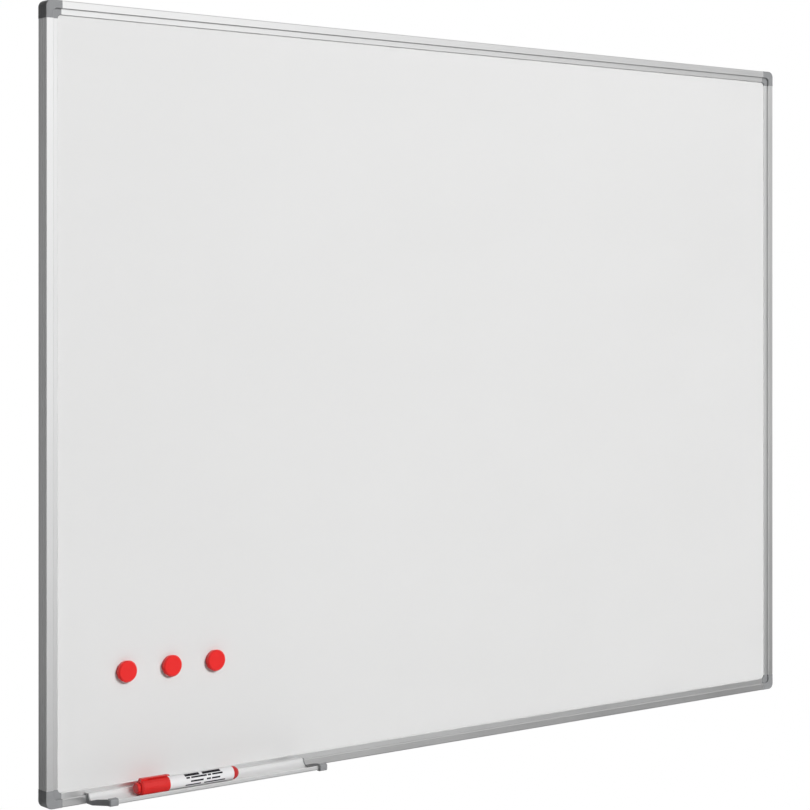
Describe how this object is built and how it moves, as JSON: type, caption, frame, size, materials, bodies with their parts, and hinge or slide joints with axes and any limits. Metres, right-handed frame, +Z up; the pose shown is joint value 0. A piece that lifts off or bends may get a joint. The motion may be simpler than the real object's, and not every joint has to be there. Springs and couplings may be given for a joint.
{
  "type": "whiteboard",
  "caption": "Wall-hung magnetic whiteboard with slim aluminium frame, grey corner caps, sliding pen tray, board marker and round magnets.",
  "frame": {"origin": "centre of the four wall screws, on the wall plane behind the board", "axes": "+X along the board to the right seen from the front, +Y into the wall, +Z up"},
  "size_m": [1.2, 0.0686, 0.9],
  "materials": {
    "anodised_aluminium": "natural anodised, fine lengthwise drawing lines",
    "grey_plastic": "moulded, light satin texture",
    "white_enamel": "glossy vitreous enamel on steel",
    "fibre_core": "raw fibreboard",
    "galvanised_steel": "galvanised, dull",
    "zinc_plated_steel": "bright zinc plated",
    "red_plastic": "moulded, satin gloss",
    "white_plastic": "moulded, gloss",
    "ink_felt": "pressed felt soaked in red ink",
    "ink_fibre": "bonded fibre soaked in red ink",
    "magnet_red": "moulded, gloss",
    "ferrite": "sintered, dull black"
  },
  "bodies": {
    "board": {"frame_top": "anodised_aluminium", "frame_bottom": "anodised_aluminium", "frame_left": "anodised_aluminium", "frame_right": "anodised_aluminium", "corner_cap_top_left": "grey_plastic", "corner_cap_top_right": "grey_plastic", "corner_cap_bottom_left": "grey_plastic", "corner_cap_bottom_right": "grey_plastic", "writing_sheet": "white_enamel", "core_board": "fibre_core", "back_sheet": "galvanised_steel", "wall_hook_left": "zinc_plated_steel", "wall_hook_right": "zinc_plated_steel", "wall_clip_left": "zinc_plated_steel", "wall_clip_right": "zinc_plated_steel"},
    "tray": {"tray_channel": "anodised_aluminium", "tray_end_cap_left": "grey_plastic", "tray_end_cap_right": "grey_plastic"},
    "marker": {"marker_barrel": "white_plastic", "marker_end_plug": "red_plastic", "marker_nib_holder": "white_plastic", "marker_nib": "ink_felt", "marker_ink_reservoir": "ink_fibre"},
    "marker_cap": {"marker_cap": "red_plastic"},
    "magnet_1": {"magnet_shell_1": "magnet_red", "magnet_disc_1": "ferrite"},
    "magnet_2": {"magnet_shell_2": "magnet_red", "magnet_disc_2": "ferrite"},
    "magnet_3": {"magnet_shell_3": "magnet_red", "magnet_disc_3": "ferrite"}
  },
  "joints": [
    {"name": "tray_slide", "type": "slide", "parent": "board", "child": "tray", "axis": [1, 0, 0], "range_m": [-0.03, 0.827]},
    {"name": "marker_lift", "type": "slide", "parent": "tray", "child": "marker", "axis": [0, 0, 1], "range_m": [0, 0.06]},
    {"name": "marker_cap_pull", "type": "slide", "parent": "marker", "child": "marker_cap", "axis": [-1, 0, 0], "range_m": [0, 0.034]},
    {"name": "magnet_1_pull", "type": "slide", "parent": "board", "child": "magnet_1", "axis": [0, -1, 0], "range_m": [0, 0.04]},
    {"name": "magnet_2_pull", "type": "slide", "parent": "board", "child": "magnet_2", "axis": [0, -1, 0], "range_m": [0, 0.04]},
    {"name": "magnet_3_pull", "type": "slide", "parent": "board", "child": "magnet_3", "axis": [0, -1, 0], "range_m": [0, 0.04]}
  ]
}
